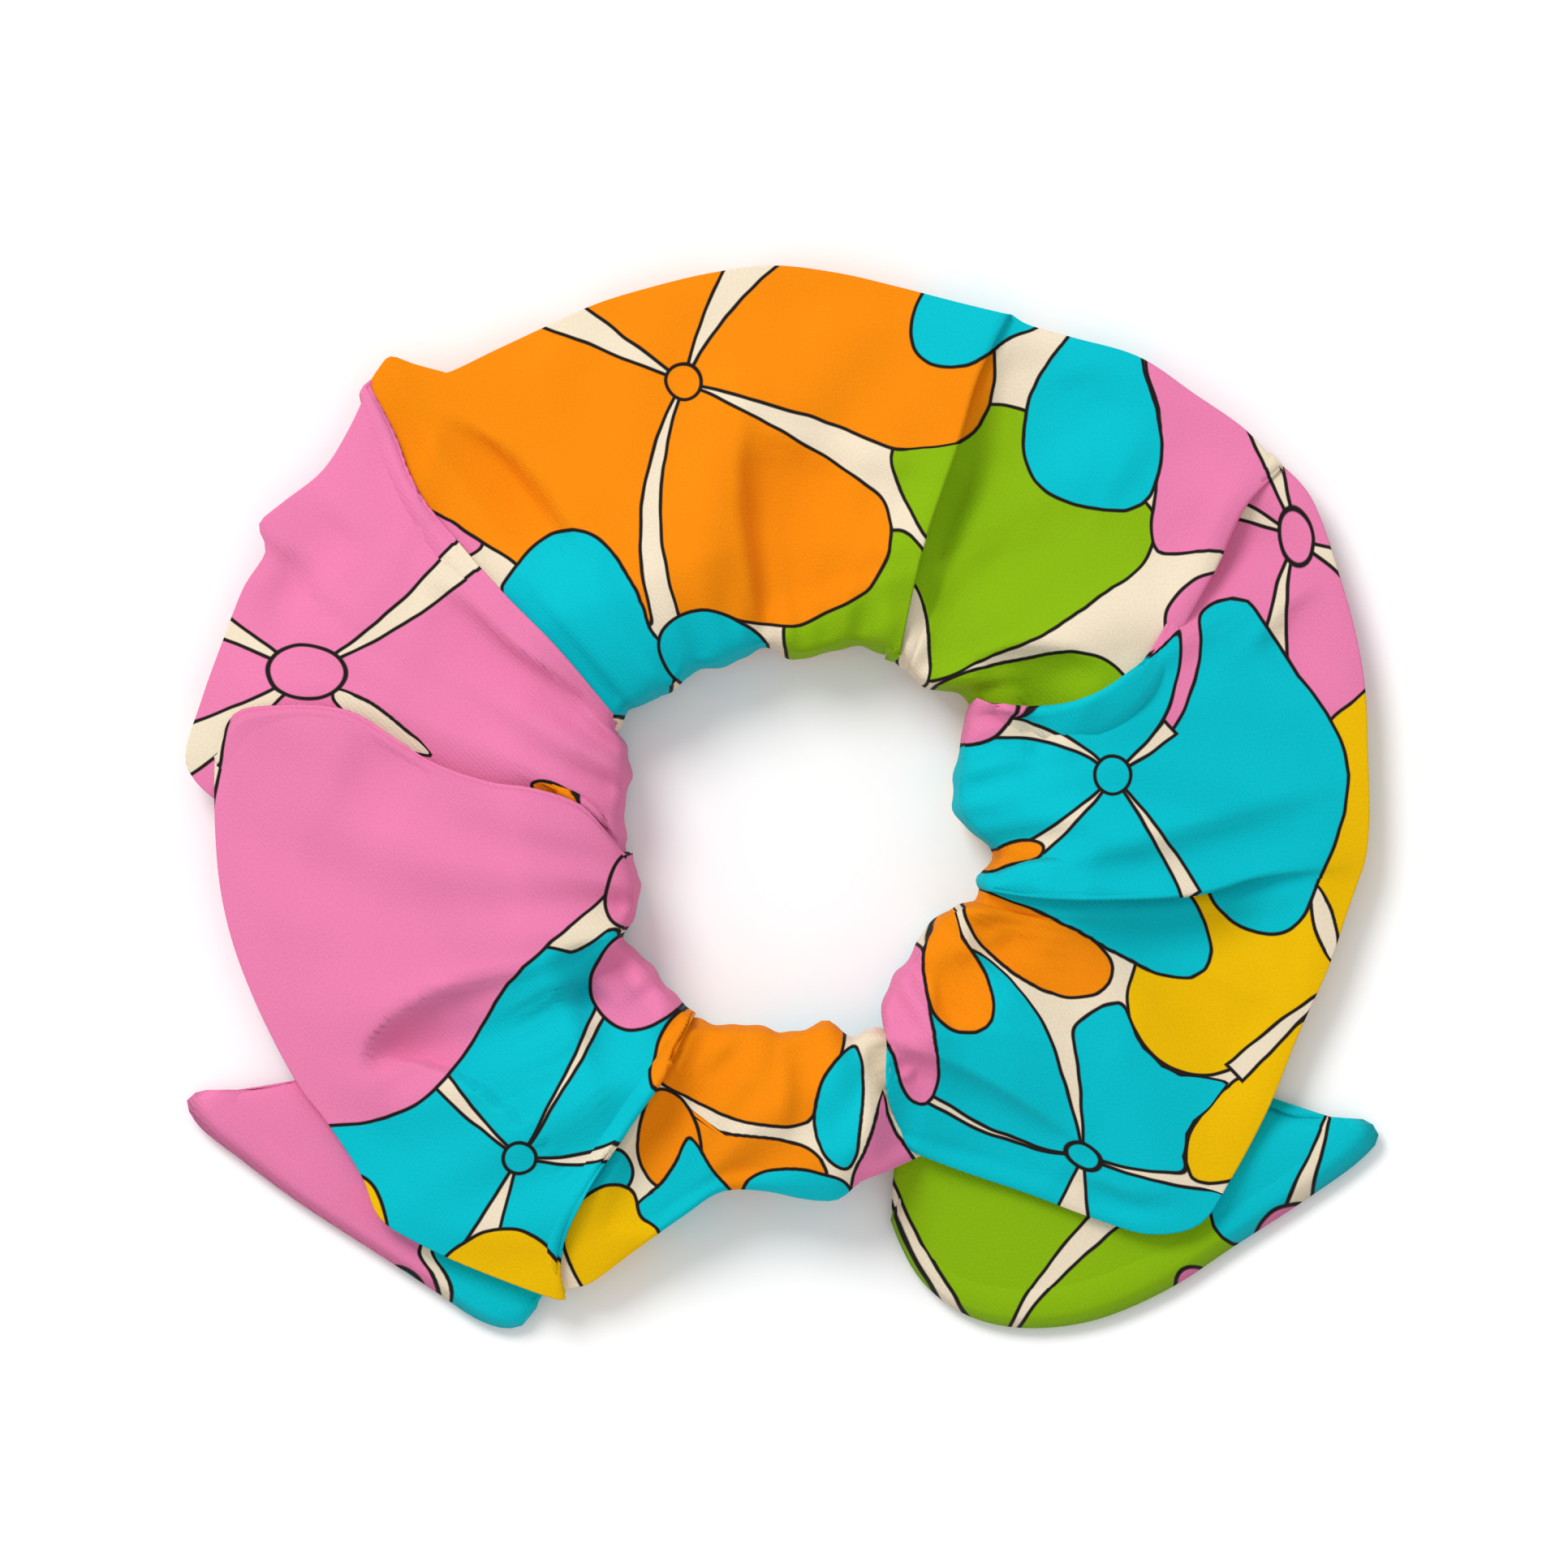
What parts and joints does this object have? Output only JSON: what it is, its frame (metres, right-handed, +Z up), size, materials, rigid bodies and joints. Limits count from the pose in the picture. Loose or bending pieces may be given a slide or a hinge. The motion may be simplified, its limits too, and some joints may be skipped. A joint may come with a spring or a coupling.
{
  "type": "scrunchie",
  "caption": "Wide gathered cloth tube round a loop of flat elastic, for holding a ponytail or bun.",
  "frame": {"origin": "centre of the hair opening, on the surface that the scrunchie lies on", "axes": "+Z up out of the surface along the opening's axis, +X to the right along the longest extent, +Y away from the closing join"},
  "size_m": [0.1463, 0.1305, 0.0193],
  "materials": {
    "printed_cloth": "matte printed stretch knit, large four-petal flowers in orange, pink, turquoise, green and yellow on cream",
    "elastic": "matte braided elastic",
    "thread": "satin polyester sewing thread"
  },
  "bodies": {
    "seam_side": {"cover_seam_side": "printed_cloth", "elastic_seam_side": "elastic", "elastic_join_thread": "thread", "closing_seam_thread": "thread", "long_seam_thread_seam_side": "thread"},
    "far_side": {"cover_far_side": "printed_cloth", "elastic_far_side": "elastic", "long_seam_thread_far_side": "thread"}
  },
  "joints": [
    {"name": "stretch", "type": "slide", "parent": "seam_side", "child": "far_side", "axis": [0, 1, 0], "range_m": [0, 0.07], "stiffness_N_per_m": 100}
  ]
}
